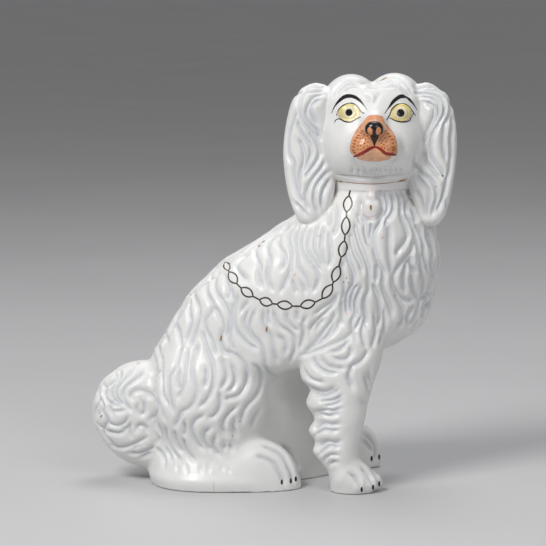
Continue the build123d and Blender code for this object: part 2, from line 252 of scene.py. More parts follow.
HAUNCH_HAIR = [
    [(-95, 107), (-96.5, 99.5), (-94.2, 91.5), (-93.5, 82.7), (-95.3, 74), (-94.5, 65), (-91.2, 56),
     (-87, 46)],
    [(-90.3, 100), (-89.6, 91), (-89.7, 82), (-89.6, 73), (-88.5, 66), (-84, 58)],
    [(-73.7, 108), (-75.6, 99.5), (-78.3, 90.7), (-83.5, 82.7), (-84.6, 75.5), (-83.8, 67), (-82, 59.5),
     (-80.4, 53)],
    [(-69.3, 105), (-69.5, 93), (-71.3, 83), (-72.2, 75.5), (-75, 68.4), (-77, 64)],
    [(-59.7, 109), (-63.4, 99.5), (-65.6, 91), (-64.4, 82), (-61.8, 72), (-62.8, 63), (-67.2, 57),
     (-73.4, 53), (-77, 46), (-80, 40)],
    [(-56.2, 120), (-55.4, 113), (-52, 103), (-48.5, 94), (-47.3, 84.4), (-47.8, 75.5), (-50.4, 67.5),
     (-55, 61), (-60, 57)],
    [(-42.3, 115), (-41.5, 108), (-38, 102.5), (-31, 100.4), (-25.8, 96), (-21.6, 90), (-19.9, 82.7),
     (-21.8, 74.7), (-27, 67.5), (-34, 65), (-39, 63.5)],
    [(-74.8, 89), (-76.6, 80), (-75.8, 71)],
    [(-54, 90), (-53, 82), (-55, 73)],
    [(-41.6, 98), (-38.2, 91), (-36.6, 83), (-38.4, 77), (-42, 72)],
    [(-33.8, 93), (-30.4, 86), (-29.6, 79), (-32.3, 73), (-37, 70)],
    [(-42.8, 70), (-41.6, 63), (-43, 56), (-47.5, 50), (-52, 48.5)],
    [(-55.4, 50.7), (-61.6, 47), (-65.2, 42), (-64.3, 34.7), (-61, 27.6), (-56, 22)],
    [(-50, 40), (-54.6, 36.4), (-55.5, 31), (-53, 25), (-49, 21)],
    [(-46, 34), (-47.7, 29), (-46.9, 23), (-42, 17)],
    [(-28.4, 58), (-35, 52), (-39, 46.3), (-40, 40), (-37.5, 34)],
    [(-16, 92), (-11.5, 88), (-9.1, 82), (-9.5, 73.7), (-13.6, 66), (-19.3, 59.6), (-23.4, 53),
     (-24.7, 45)],
    [(-9.7, 55), (-14, 48.5), (-16.5, 41)],
    [(-38.7, 28), (-38.7, 22)],
    [(-34.3, 28), (-33, 21.5)],
    [(-91, 42), (-90, 34.7), (-88.4, 26.7), (-85, 19.5), (-81, 13)],
    [(-86.6, 41), (-86.6, 34), (-84, 26), (-79.8, 18.7), (-75, 13.5)],
    [(-79.6, 38), (-78.8, 31), (-76.3, 24), (-72, 20)],
    [(-72.7, 32), (-71, 24), (-67.6, 18), (-63, 13.5)],
    [(-94.5, 24), (-91, 20), (-88.5, 16), (-87.5, 9)],
    [(-72, 46), (-71, 38), (-72, 33)],
    [(-31, 48), (-31, 40), (-29, 34)],
]
FRINGE = [
    [(-77.2, 11), (-77, 3.5)], [(-70, 10), (-69, 3.5)], [(-59.3, 11), (-58, 3.5)],
    [(-52.3, 11), (-51.5, 4)],
    [(-41.3, 10), (-40.5, 4)], [(-36.7, 8), (-35.5, 3)],
]
LEG_HAIR = [
    [(61, 114), (57.7, 108), (52.8, 104), (45, 102)],
    [(61, 107), (62.6, 102), (59.3, 97), (53, 96.5), (48, 99)],
    [(77, 105), (74, 98.7), (70, 94.5), (64.3, 91.2), (62.2, 87), (61, 82), (62.6, 77), (64.3, 72)],
    [(32.3, 99), (33.5, 93), (39, 88), (45.4, 85.4), (52, 85.5)],
    [(39, 99), (40.5, 94.5), (44.6, 91), (50.3, 89.3), (58, 88.5)],
    [(25, 88), (27.4, 82), (33, 78.5), (41, 77)],
    [(26.6, 75.4), (32.3, 71.5), (39.7, 69.5), (46.2, 71), (50, 74)],
    [(29.5, 70), (34, 68.2), (40.2, 66.7), (47.2, 68.3), (53, 72)],
    [(56, 67), (50.7, 63.6), (44, 62.3), (37, 63)],
    [(56, 64), (51.6, 60.5), (46.4, 58.8), (40, 58.3)],
    [(32.4, 51.5), (36.7, 53.4), (43, 54.7), (49, 54.2), (55.5, 56.5)],
    [(33, 50), (38.5, 51), (44.6, 50), (50, 51.4), (54, 53)],
    [(32.5, 38), (36, 42.2), (41, 44), (47.2, 43), (54.5, 43.5)],
    [(33.5, 33), (37.6, 37.6), (43, 39), (48, 37.8), (53.5, 39)],
    [(35.5, 24), (39.4, 27.5), (44.6, 28.8), (50, 27.9), (55, 29.3)],
    [(36, 17), (40.2, 22.6), (45.5, 25.5), (50.7, 25), (54, 26.2)],
    [(41, 12.8), (43.7, 16.4), (48, 18), (53.5, 17.3)],
    [(45, 9), (48, 11.9), (52.5, 11.9)],
    [(77.9, 88), (77.9, 82.3), (79.8, 78)],
    [(74.4, 84), (76, 77), (78, 71)],
    [(70.9, 63.6), (75.5, 60)],
]
FEET = [
    [(62, 3), (66.5, 0.3), (70, -5), (73, -12)],
    [(71.8, 8.3), (76, 4), (79.6, -1.5), (83, -9)],
    [(72.6, 36), (77.9, 32.4), (81.8, 27), (83, 21.7), (82.7, 16.4), (81.8, 11.5)],
    [(71, 30.6), (75.3, 28), (78.8, 23.5), (79.6, 20)],
    [(-13.2, 16.8), (-8.8, 16.4), (-3.5, 14.6), (1.7, 11), (5.2, 5.7), (8.3, -0.6), (10.3, -8)],
    [(-7.9, 26.2), (-1.8, 24.4), (4.3, 21.3), (9.6, 16.4), (13, 10), (15.7, 3), (17.3, -5)],
    [(7, 26.2), (12.2, 21.7), (16.6, 15.5), (20, 8.3), (21.5, 2)],
]
TAIL_HAIR = [
    [(-137, 77.5), (-134.8, 72), (-135.3, 66.7), (-132.7, 62), (-128.5, 59.5), (-122.5, 58)],
    [(-127, 86.2), (-126.5, 82), (-130, 77.3), (-134, 74.5)],
    [(-123, 88.5), (-123, 82), (-127.5, 75.5), (-129.8, 70), (-129.3, 65), (-125, 61), (-122, 59.5)],
    [(-112.5, 91), (-116, 84.4), (-121.3, 78.2), (-125.7, 73), (-126.6, 67.5), (-124, 63), (-120, 59)],
    [(-102, 87), (-107.3, 82.6), (-113.5, 78), (-118.7, 73), (-120.5, 66.7), (-118, 59.5), (-113.5, 54)],
    [(-112.6, 63), (-114.3, 66.7), (-111.7, 70.2), (-106.4, 71.5), (-101.2, 70.2), (-97, 65), (-94, 58),
     (-95, 51.5), (-99, 46)],
    [(-107.3, 60), (-109, 57.8), (-108, 54), (-105.5, 51.5), (-103, 54), (-103, 58.7), (-105.5, 63)],
    [(-131, 54), (-125, 53.8), (-118.7, 54.7)],
    [(-136.2, 48), (-132, 43.6), (-125.8, 41.8), (-119.7, 44.4), (-116, 50)],
    [(-141.5, 43.6), (-137.3, 39), (-130.3, 36.4), (-123.3, 36), (-117, 40), (-114, 45.5)],
    [(-142.3, 65), (-138.8, 63), (-137, 57.8), (-136.7, 52)],
    [(-113.7, 44), (-115.5, 38.2), (-113.8, 32)],
    [(-110.3, 37.3), (-107.7, 42), (-102.5, 41), (-100.5, 36)],
    [(-131.3, 25.8), (-123.4, 24), (-114.7, 25.8), (-107.6, 29.3), (-101, 33)],
    [(-116.4, 19.5), (-107.7, 19.5), (-99.8, 22.2), (-95, 26)],
    [(-107.8, 15), (-102.5, 17.8), (-97, 20.4)],
    [(-140, 55), (-141, 49)],
]
EAR_HAIR = [
    [(18, 296), (15, 287), (11.9, 277.6), (11.4, 268), (12.4, 260), (16, 254), (16, 245.6), (17, 236),
     (20, 228), (25, 221)],
    [(41, 312.5), (32.4, 311.8), (25, 311), (21.8, 306.7), (20.4, 299), (20.9, 292), (24.7, 285.4),
     (30.5, 279.5), (34.4, 273.5)],
    [(41, 309.6), (33.4, 307.7), (29.5, 302.8), (26.7, 296), (26.7, 290), (30.5, 284.4), (35.3, 279.5),
     (38, 272)],
    [(38, 304.8), (31.5, 301), (30.5, 295), (33.4, 289), (36.3, 284)],
    [(19, 289), (20, 282.5), (23.8, 275.7), (29.5, 269), (30.5, 262), (27.6, 255), (24.7, 247)],
    [(20, 273.7), (22.8, 268), (24.7, 261), (24.2, 254), (21, 245.6), (20, 238), (20.4, 229)],
    [(28.6, 279.5), (33.4, 273.7), (37, 266), (37, 260), (34, 254), (28.6, 247.5), (25.7, 243)],
    [(41, 256), (39, 250.5), (33.4, 243.7), (29.5, 238), (26.7, 231), (25.7, 223.3), (29, 216)],
    [(45.5, 247.5), (42, 245.6), (37.3, 240), (34.4, 235), (33, 227), (34.4, 220.4), (37, 214)],
    [(46, 241.7), (43, 237), (40.2, 231), (39.2, 223.3), (40.5, 218)],
    [(16, 223.3), (21, 218.5), (26.7, 212)],
    [(112.5, 309.6), (120, 310.6), (128, 309.4), (133.7, 305.7), (136.6, 300), (135.6, 292), (130.8, 284.4),
     (126, 276.6), (125, 269), (126, 260), (130.8, 253.4), (135.6, 247.5), (137, 242)],
    [(112.5, 313.5), (122, 313.8), (131, 312), (137.6, 307.7), (141, 300), (140.5, 292), (136.6, 284.4),
     (135.6, 275.7), (136, 266), (138.5, 256)],
    [(115.4, 307.3), (125, 306.7), (130.8, 302.8), (131.8, 296), (129.8, 289.3), (124, 280.5), (120, 273)],
    [(118.3, 302.8), (122, 302), (127, 299), (128, 293), (126, 287.3), (122, 279.6), (119, 270)],
    [(120, 265), (121.2, 256.3), (126, 250.5), (130, 245.6), (134, 242)],
    [(113.5, 260), (113.5, 252.4), (119.2, 245.6), (125, 241.7), (129, 236), (130.8, 228), (129, 220.4),
     (126, 211.5)],
    [(112.5, 246), (118.3, 239), (123, 233), (124, 226.2), (122, 218.5), (121.5, 211)],
    [(113, 233), (117.3, 225.2), (119.2, 217.5), (121, 210)],
    [(142.3, 292), (142.5, 282), (141.4, 273), (142, 262), (141, 250.5), (139, 241), (136.6, 231),
     (134, 222.5), (130, 215)],
]
CROWN_HAIR = [
    [(47, 306.5), (48, 312.5), (53.7, 318), (61.4, 320.3), (69, 318.3), (76, 317)],
    [(49.8, 306.5), (52.7, 312.5), (57.5, 316), (64.3, 317.5), (71, 315.5)],
    [(55.6, 309.6), (58.5, 313.2), (63.3, 315), (71, 313.6)],
    [(78, 318), (83.5, 318.3), (90.3, 322), (97, 323), (103.8, 319.3), (108.6, 313.5), (111.5, 308.5)],
    [(82, 316.4), (88.4, 318.3), (94.2, 320), (101, 317.4), (105.7, 311.6), (110, 306)],
    [(84.5, 313.5), (91.3, 315.4), (98, 315.4), (103.8, 311.6), (108, 306)],
    [(71, 309.6), (75.8, 305.7), (77.8, 301)],
    [(84.5, 308.7), (81.6, 305), (80.2, 300)],
]
CHIN_FRINGE = [[(x, 251), (x + 0.3, 245)] for x in (63, 68, 73, 77.8, 81.7, 85.5, 89.3, 93.2, 98, 101.5)]
COLLAR_EDGE = [[(50, 245), (60, 243.6), (78, 242.5), (96, 243.6), (106, 245)]]


# ---------------------------------------------------------------- distance fields, in millimetres
def spline(points, step):
    """Points about step apart along a smooth curve through the given ones."""
    pts = np.asarray(points, float)
    ext = np.vstack([2 * pts[0] - pts[1], pts, 2 * pts[-1] - pts[-2]])
    out = []
    for a, b, c, d in zip(ext, ext[1:], ext[2:], ext[3:]):
        n = max(1, int(math.ceil(np.linalg.norm(c - b) / step)))
        t = (np.arange(n) / n)[:, None]
        out.append(0.5 * (2 * b + (c - a) * t + (2 * a - 5 * b + 4 * c - d) * t ** 2
                          + (3 * b - a - 3 * c + d) * t ** 3))
    return np.vstack(out + [pts[-1:]])


def join(a, b, k):
    """Union of two fields with a fillet of about k."""
    h = np.clip(0.5 + 0.5 * (b - a) / k, 0, 1)
    return b * (1 - h) + a * h - k * h * (1 - h)


def ellipsoid(p, mid, semi):
    q = (p - np.asarray(mid, np.float32)) / np.asarray(semi, np.float32)
    k0 = np.sqrt((q * q).sum(1))
    q = q / np.asarray(semi, np.float32)
    return k0 * (k0 - 1) / np.maximum(np.sqrt((q * q).sum(1)), 1e-4)


def flip(form):
    """The same ellipsoid on the dog's other side."""
    (x, y, z), semi = form
    return (x, -y, z), semi


def round_cone(p, a, b, ra, rb):
    a, b = np.asarray(a, np.float32), np.asarray(b, np.float32)
    ab = b - a
    t = np.clip((p - a) @ ab / (ab @ ab), 0, 1)
    return np.sqrt(((p - a - t[:, None] * ab) ** 2).sum(1)) - (ra + (rb - ra) * t)


class Stack:
    """A solid whose horizontal sections are ellipses that change smoothly with height."""

    def __init__(self, rows, squared=2.0):
        self.squared = squared       # how square the sections are at the foot: 2 is an ellipse
        dense = spline(rows, 1.0)
        order = np.argsort(dense[:, 0])
        self.rows = dense[order].astype(np.float32)

    def __call__(self, p, grow=0.0):
        z = p[:, 2]
        low, high, mid, half = (np.interp(z, self.rows[:, 0], self.rows[:, i]) for i in (1, 2, 3, 4))
        hx, hy = np.maximum((high - low) / 2 + grow, 0.5), np.maximum(half + grow, 0.5)
        qx, qy = (p[:, 0] - (low + high) / 2) / hx, (p[:, 1] - mid) / hy
        n = np.interp(z, (8, 45), (self.squared, 2.0))
        qx, qy = np.maximum(np.abs(qx), 1e-3), np.maximum(np.abs(qy), 1e-3)
        k0 = (qx ** n + qy ** n) ** (1 / n)
        slope = k0 ** (1 - n) * np.hypot(qx ** (n - 1) / hx, qy ** (n - 1) / hy)
        around = (k0 - 1) / np.maximum(slope, 1e-4)
        return np.maximum(around, np.maximum(self.rows[0, 0] - z, z - self.rows[-1, 0])).astype(np.float32)


torso_form, head_form = Stack(TORSO, 2.5), Stack(HEAD)
near_leg_form, right_ear_form, left_ear_form = Stack(NEAR_LEG), Stack(RIGHT_EAR), Stack(LEFT_EAR)
far_leg_form = Stack([(z, low, high, -mid - 3, half) for z, low, high, mid, half in NEAR_LEG])


def wall(p):
    """The belly wall: a plain upright wall, hollowed where its line turns."""
    sides = []
    for (xa, ya), (xb, yb) in zip(WALL_LINE, WALL_LINE[1:]):
        run = math.hypot(xb - xa, yb - ya)
        sides.append(((yb - ya) * (p[:, 0] - xa) - (xb - xa) * (p[:, 1] - ya)) / run)
    near, far = WALL_Y
    face = -join(-join(*sides, WALL_TURNS[0]), p[:, 1] - near, WALL_TURNS[1])
    return np.max([face, p[:, 1] - far, p[:, 2] - WALL_TOP, WALL_BACK - p[:, 0]], axis=0)


def band(p, low, high, grow):
    """A level band round the neck."""
    return np.maximum(head_neck(p, grow), np.maximum(low - p[:, 2], p[:, 2] - high))


def head_neck(p, grow):
    row = HEAD[0]
    hx, hy = (row[2] - row[1]) / 2 + grow, row[4] + grow
    return ellipsoid(p * np.array([1, 1, 0], np.float32), ((row[1] + row[2]) / 2, row[3], 0), (hx, hy, 1e6))


def built_up(p, d, forms, fillet):
    """The field d with ellipsoids joined to it, one after another."""
    for form in forms:
        d = join(d, ellipsoid(p, *form), fillet)
    return d


def body_group(p):
    return join(built_up(p, torso_form(p), (HAUNCH, flip(HAUNCH)), BODY_FILLET), wall(p), BODY_FILLET)


def head_group(p):
    return built_up(p, built_up(p, head_form(p), CROWN, CROWN_FILLET), CHEEKS, CHEEK_FILLET)


def muzzle_group(p):
    return built_up(p, built_up(p, round_cone(p, *BRIDGE), LIPS, LIP_FILLET), [CHIN], CHIN_FILLET)


def near_leg_group(p):
    foot = ellipsoid(p, *NEAR_FOOT)
    for a, b in NEAR_TOES:
        foot = join(foot, round_cone(p, a, b, *TOE_RADII), TOE_FILLET)
    return join(near_leg_form(p), foot, NEAR_ANKLE)


def far_leg_group(p):
    return built_up(p, far_leg_form(p), [FAR_FOOT], FAR_ANKLE)


def tail_group(p):
    return built_up(p, ellipsoid(p, *TAIL), [TAIL_STEM], TAIL_FILLET)


def collar_group(p):
    (foot, bead, top), (plain, proud) = COLLAR_Z, COLLAR_PROUD
    return join(band(p, foot, bead, plain), band(p, bead - 0.4, top, proud), 1.0)


def padlock_group(p):
    return join(ellipsoid(p, *LOCK_CASE), ellipsoid(p, *LOCK_KNOB), 1.5)


# Each piece: its field, and the fillet with which it joins what is listed before it
PIECES = {
    "body": (body_group, 0),
    "right_front_leg": (near_leg_group, 7),
    "left_front_leg": (far_leg_group, 7),
    "right_hind_foot": (lambda p: ellipsoid(p, *HIND_FOOT), 6),
    "left_hind_foot": (lambda p: ellipsoid(p, *flip(HIND_FOOT)), 6),
    "tail": (tail_group, 5),
    "head": (head_group, 3),
    "muzzle": (muzzle_group, 5),
    "nose": (lambda p: ellipsoid(p, *NOSE), 2),
    "right_eye": (lambda p: ellipsoid(p, *EYES["right_eye"]), 1),
    "left_eye": (lambda p: ellipsoid(p, *EYES["left_eye"]), 1),
    "right_ear": (right_ear_form, 2),
    "left_ear": (left_ear_form, 2),
    "collar": (collar_group, 0.8),
    "padlock": (padlock_group, 1.5),
}
NAMES = list(PIECES)


def field(p):
    """Distance to the whole figure, cut flat at the floor, with the firing vent."""
    d = None
    for shape, fillet in PIECES.values():
        e = shape(p)
        d = e if d is None else join(d, e, fillet)
    vent = np.maximum(np.hypot(p[:, 0] - VENT_X, p[:, 1]) - VENT_RADIUS, p[:, 2] - SLAB)
    return np.maximum(np.maximum(d, -p[:, 2]), -vent)


# ---------------------------------------------------------------- one smooth mesh
def coarse_figure():
    """The figure without hair, as closed quads in millimetres."""
    low, high = np.array(cad_box[0]) / MM - MARGIN, np.array(cad_box[1]) / MM + MARGIN
    axes = [np.arange(a, b, VOXEL, dtype=np.float32) for a, b in zip(low, high)]
    values = np.empty([len(a) for a in axes], np.float32)
    for i, x in enumerate(axes[0]):
        yy, zz = np.meshgrid(axes[1], axes[2], indexing="ij")
        p = np.stack([np.full(yy.size, x, np.float32), yy.ravel(), zz.ravel()], 1)
        values[i] = field(p).reshape(yy.shape)
    grid = openvdb.FloatGrid(background=float(NEARBY))
    grid.copyFromArray(np.clip(values, -NEARBY, NEARBY))
    points, quads = grid.convertToQuads(isovalue=0.0)
    points, quads = points * VOXEL + low, quads.astype(np.int64)
    c = points[quads]
    volume = np.einsum("ij,ij->", c[:, 0], np.cross(c[:, 1], c[:, 2]) + np.cross(c[:, 2], c[:, 3]))
    return points, quads if volume > 0 else quads[:, ::-1]


def halved(points, quads):
    """Splits every quad in four. Gives the points, the quads (four for each old one, in turn) and the
    middle of each old side."""
    sides = np.stack([quads, np.roll(quads, -1, 1)], 2).reshape(-1, 2)
    key, at = np.unique(np.sort(sides, 1), axis=0, return_inverse=True)
    middle = len(points) + at.reshape(-1, 4)
    centre = len(points) + len(key) + np.arange(len(quads))
    (a, b, c, d), (ab, bc, cd, da) = quads.T, middle.T
    fine = ((a, ab, centre, da), (ab, b, bc, centre), (centre, bc, c, cd), (da, centre, cd, d))
    fine = np.stack([np.stack(corners, 1) for corners in fine], 1).reshape(-1, 4)
    return np.vstack([points, points[key].mean(1), points[quads].mean(1)]), fine, middle


def sides_of(quads):
    """Each edge of the mesh once."""
    return np.unique(np.sort(np.stack([quads, np.roll(quads, -1, 1)], 2).reshape(-1, 2), 1), axis=0)


def vertex_normals(points, quads):
    c = points[quads]
    face = np.cross(c[:, 2] - c[:, 0], c[:, 3] - c[:, 1])
    total = np.stack([sum(np.bincount(quads[:, i], face[:, k], len(points)) for i in range(4))
                      for k in range(3)], 1)
    return total / np.maximum(np.linalg.norm(total, axis=1), 1e-9)[:, None]


def relax(values, edges, share, rounds):
    """Evens values out between neighbouring vertices."""
    n, (a, b) = len(values), edges.T
    count = np.maximum(np.bincount(edges.ravel(), minlength=n), 1)
    for _ in range(rounds):
        total = np.bincount(a, values[b], n) + np.bincount(b, values[a], n)
        values = (1 - share) * values + share * total / count
    return values


def relax_all(points, edges, share, rounds):
    return np.stack([relax(points[:, k], edges, share, rounds) for k in range(3)], 1)


def settle(points, normals, rounds=2):
    """Moves points along their normals onto the field's surface, except on the underside."""
    free = normals[:, 2] > -0.8
    p, n = points[free].astype(np.float32), normals[free].astype(np.float32)
    for _ in range(rounds):
        d = field(p)
        slope = (field(p + 0.2 * n) - d) / 0.2
        p = p - n * np.clip(d / np.clip(slope, 0.4, 2.0), -1.0, 1.0)[:, None]
    points[free] = p
    points[:, 2] = np.maximum(points[:, 2], 0)
    return points


# ---------------------------------------------------------------- hair carved into the form
def seen(tree, x, z):
    """Where the line of sight through (x, z) of the plane y = 0 meets the surface, and the normal there."""
    way = np.array([x, 0.0, z]) - EYE
    hit, normal, _, _ = tree.ray_cast(Vector(EYE), Vector(way / np.linalg.norm(way)))
    return (None, None) if hit is None else (np.array(hit), np.array(normal))


def gather(laid):
    """Splits laid points into runs that have no jump in depth."""
    found, last = [], None
    for hit, normal in laid:
        if hit is None:
            last = None
            continue
        if last is None or np.linalg.norm(hit - last) > JUMP:
            found.append([])
        found[-1].append((hit, normal))
        last = hit
    return [tuple(np.array(column) for column in zip(*run)) for run in found if len(run) > SHORTEST]


def lay(tree, line):
    return gather([seen(tree, x, z) for x, z in spline(line, 1.0)])


def mirror(tree, run, mid):
    """The same run on the dog's far side."""
    laid = []
    for x, y, z in run[0]:
        hit, normal, _, gap = tree.find_nearest(Vector((x, 2 * mid - y, z)))
        laid.append((np.array(hit), np.array(normal)) if gap < ACROSS else (None, None))
    return gather(laid)


def grooves_of(tree):
    """Every groove on the surface: points, normals, depth and half width."""
    made = []
    for lines, depth, reach, mid in HAIR:
        for line in lines:
            for run in lay(tree, line):
                made.append((*run, depth, reach))
                made += [(*far, depth, reach) for far in mirror(tree, run, mid)]
    for patch in UNSEEN:
        made += comb(tree, *patch)
    return made


def comb(tree, first, down, across, count, way):
    """Wavy locks over a part that the front view doesn't reach, cast onto it along way."""
    first, down, across = (np.array(v, float) for v in (first, down, across))
    made, length = [], np.linalg.norm(down)
    for i in range(count):
        laid = []
        for t in np.arange(0, 1, 1.0 / length):
            # two waves out of step, and a short break here and there
            turn = i + 0.34 * math.sin(11 * t + 2.1 * i) + 0.16 * math.sin(23 * t + 4.3 * i)
            hit, normal, _, _ = tree.ray_cast(Vector(first + down * t + across * turn), Vector(way))
            parted = math.sin(length * t / 7.5 + 1.9 * i) > 0.9
            laid.append((None, None) if hit is None or parted else (np.array(hit), np.array(normal)))
        made += [(*run, *COMBED) for run in gather(laid)]
    return made


def carve(points, normals, grooves):
    """How deep the grooves cut at each vertex, and how far the locks beside them stand out.
    A groove is sharp at its bottom and fades at its ends. The lock on one side overlaps the other."""
    total, lap = np.zeros(len(points)), np.zeros(len(points))
    for line, facing, depth, reach in grooves:
        near = np.flatnonzero(((points > line.min(0) - OVERLAP) & (points < line.max(0) + OVERLAP)).all(1))
        if not len(near):
            continue
        along = np.linspace(0, 1, len(line))
        # from a third of its depth at the ends to all of it a few millimetres in
        taper = np.clip(np.minimum(along, 1 - along) * len(line) / 6 + 0.3, 0, 1)
        gap = np.linalg.norm(points[near, None] - line[None].astype(np.float32), axis=2)
        cut = depth * taper * np.clip(1 - gap / reach, 0, 1) ** 2.2
        facing_it = (normals[near] * facing[cut.argmax(1)]).sum(1) > 0.1
        total[near] += np.where(facing_it, cut.max(1), 0) ** 4      # where grooves meet, the deepest wins
        # the lock that stands out is the one towards +x and down
        side = np.cross(np.gradient(line, axis=0), facing)
        side *= np.sign(side @ np.array([1.0, 0.0, -0.35]))[:, None]
        best = gap.argmin(1)
        aside = ((points[near] - line[best]) * side[best]).sum(1)
        rise = taper[best] * aside / (np.abs(aside) + 1.5) * np.clip(1 - gap.min(1) / OVERLAP, 0, 1) ** 1.5
        lap[near] += np.where((normals[near] * facing[best]).sum(1) > 0.3, depth * rise, 0)
    return total ** 0.25, 0.9 * np.tanh(lap * LAP)


# The grooves: lines, depth, half width, and the y they are mirrored about
HAIR = [
    (BACK, 3.1, 5.0, 0), (SHOULDER, 2.9, 4.8, 0), (CHEST, 4.0, 5.4, 0), (BREAST_FOOT, 2.8, 4.8, 0),
    (HAUNCH_HAIR, 3.2, 5.2, 0), (FRINGE, 1.1, 3.2, 0), (LEG_HAIR, 3.2, 5.0, -1), (FEET, 3.6, 4.4, 0),
    (TAIL_HAIR, 3.0, 4.8, 0), (EAR_HAIR, 3.8, 5.2, -9), (CROWN_HAIR, 2.4, 4.2, 2),
    (CHIN_FRINGE, 3.0, 2.4, 0), (COLLAR_EDGE, 2.6, 2.6, 0),
]

# The nape, the spine, the breast and the rump: first point, run down, step across, count, way in
UNSEEN = [
    ((52, 200, 312), (0, 0, -60), (7.5, 0, 0), 8, (0, -1, 0)),
    ((-58, -14, 282), (-105, 0, -118), (0, 7, 0), 5, (0.75, 0, -0.66)),
    ((260, -26, 228), (0, 0, -112), (0, 7.5, 0), 8, (-1, 0, 0)),
    ((-260, -30, 95), (0, 0, -70), (0, 7.5, 0), 9, (1, 0, 0)),
]


# ---------------------------------------------------------------- pieces
def put(name, data):
    """A new object in the scene."""
    made = bpy.data.objects.new(name, data)
    bpy.context.scene.collection.objects.link(made)
    return made


def owners(points, quads):
    """For each face, the CAD node it belongs to."""
    mid = points[quads].mean(1)
    pick = np.array(NAMES)[np.stack([shape(mid) for shape, _ in PIECES.values()]).argmin(0)].astype("U20")
    body, head = pick == "body", pick == "head"
    pick[body] = np.where(mid[body, 1] < 0, "right_body_shell", "left_body_shell")
    pick[body & (mid[:, 2] < SLAB)] = "base_slab"
    pick[head] = np.where(mid[head, 1] < 0, "face_shell", "back_head_shell")
    return pick


def piece(name, patch):
    """One closed hollow shell cut from the figure. patch is the coarse quads that are its own. Its
    normals are the whole figure's, so that no seam shows."""
    outer = quads.reshape(-1, 4, 4)[patch].reshape(-1, 4)
    inner = coarse[patch]
    sides = np.stack([inner, np.roll(inner, -1, 1), middle[patch]], 2).reshape(-1, 3)
    key, at, times = np.unique(np.sort(sides[:, :2], 1), axis=0, return_inverse=True, return_counts=True)
    a, b, between = sides[times[at.ravel()] == 1].T
    far = len(points)
    rim = np.stack([b, between, a, a + far, b + far], 1)
    loops = np.concatenate([outer.ravel(), inner[:, ::-1].ravel() + far, rim.ravel()])
    used, loops = np.unique(loops, return_inverse=True)
    both = np.vstack([points, smooth - SHELL * smooth_normals])
    sizes = np.repeat([4, 5], [len(outer) + len(inner), len(rim)])
    mesh = bpy.data.meshes.new(name)
    mesh.vertices.add(len(used))
    mesh.vertices.foreach_set("co", (both[used] * MM).astype(np.float32).ravel())
    mesh.loops.add(len(loops))
    mesh.loops.foreach_set("vertex_index", loops.ravel().astype(np.int32))
    mesh.polygons.add(len(sizes))
    mesh.polygons.foreach_set("loop_start", np.r_[0, np.cumsum(sizes)[:-1]].astype(np.int32))
    mesh.update(calc_edges=True)
    depth = np.r_[shade, shade * 0][used]
    mesh.attributes.new("groove", "FLOAT", "POINT").data.foreach_set("value", depth.astype(np.float32))
    mesh.shade_smooth()
    mesh.normals_split_custom_set_from_vertices(np.vstack([normals, -smooth_normals])[used])
    return put(name + "_glazed", mesh)


# ---------------------------------------------------------------- enamels, painted over the glaze
def drape(name, patches, material, lift=0.16):
    """Thin closed layers on the surface. A patch is (rows of seen points, closed round or not)."""
    co, faces = [], []
    for rows, ring in patches:
        shape = np.asarray(rows, float)
        tops = [[seen(skin, x, z) for x, z in row] for row in shape]
        if any(hit is None for row in tops for hit, _ in row):
            continue
        n, m = shape.shape[:2]
        at = np.array([[hit for hit, _ in row] for row in tops])
        out = np.array([[skin_normal(hit) for hit, _ in row] for row in tops])
        start = len(co)
        co += list((at + lift * out).reshape(-1, 3)) + list((at - 0.35 * out).reshape(-1, 3))
        cols = range(m) if ring else range(m - 1)
        for i in range(n - 1):
            for j in cols:
                a, b = start + i * m + j, start + i * m + (j + 1) % m
                faces += [(a, b, b + m, a + m), (a + n * m, a + m + n * m, b + m + n * m, b + n * m)]
        edge = [start + j for j in range(m)] if ring else (
            [start + j for j in range(m)] + [start + i * m + m - 1 for i in range(1, n)]
            + [start + (n - 1) * m + j for j in range(m - 2, -1, -1)]
            + [start + i * m for i in range(n - 2, 0, -1)])
        faces += [(b, a, a + n * m, b + n * m) for a, b in zip(edge, edge[1:] + edge[:1])]
        if ring:
            last = start + (n - 1) * m
            faces += [tuple(last + j for j in range(m)),
                      tuple(last + n * m + j for j in reversed(range(m)))]
    mesh = bpy.data.meshes.new(name)
    mesh.from_pydata([tuple(v * MM) for v in co], [], faces)
    tidy = bmesh.new()
    tidy.from_mesh(mesh)
    bmesh.ops.recalc_face_normals(tidy, faces=tidy.faces)
    tidy.to_mesh(mesh)
    tidy.free()
    mesh.shade_smooth()
    mesh.materials.append(material)
    made = put(name, mesh)
    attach(made, "root")
    return made


def skin_normal(point):
    """A steady normal: the mean of the surface's around a point."""
    found = skin.find_nearest_range(Vector(point), 1.2)
    total = sum((np.array(normal) for _, normal, _, _ in found), np.zeros(3))
    return total / max(np.linalg.norm(total), 1e-9)


def disc(outline, rings, steps):
    """Rows of points from an outline in to its middle."""
    pts = spline(list(outline) + [outline[0]], 0.2)[:-1]
    closed = np.vstack([pts, pts[:1]])
    run = np.r_[0, np.cumsum(np.linalg.norm(np.diff(closed, axis=0), axis=1))]
    want = np.linspace(0, run[-1], steps, endpoint=False)
    rim = np.stack([np.interp(want, run, closed[:, k]) for k in (0, 1)], 1)
    mid = rim.mean(0)
    return [mid + (rim - mid) * (1 - i / rings * 0.97) for i in range(rings + 1)], True


def oval(x, z, a, b, rings=6, steps=40, turn=0.0):
    """Rows of points from an ellipse in to its middle."""
    t = np.linspace(0, 2 * math.pi, steps, endpoint=False)
    c, s = math.cos(turn), math.sin(turn)
    u, v = a * np.cos(t), b * np.sin(t)
    mid = np.array([x, z])
    rim = np.stack([x + u * c - v * s, z + u * s + v * c], 1)
    return [mid + (rim - mid) * (1 - i / rings * 0.95) for i in range(rings + 1)], True


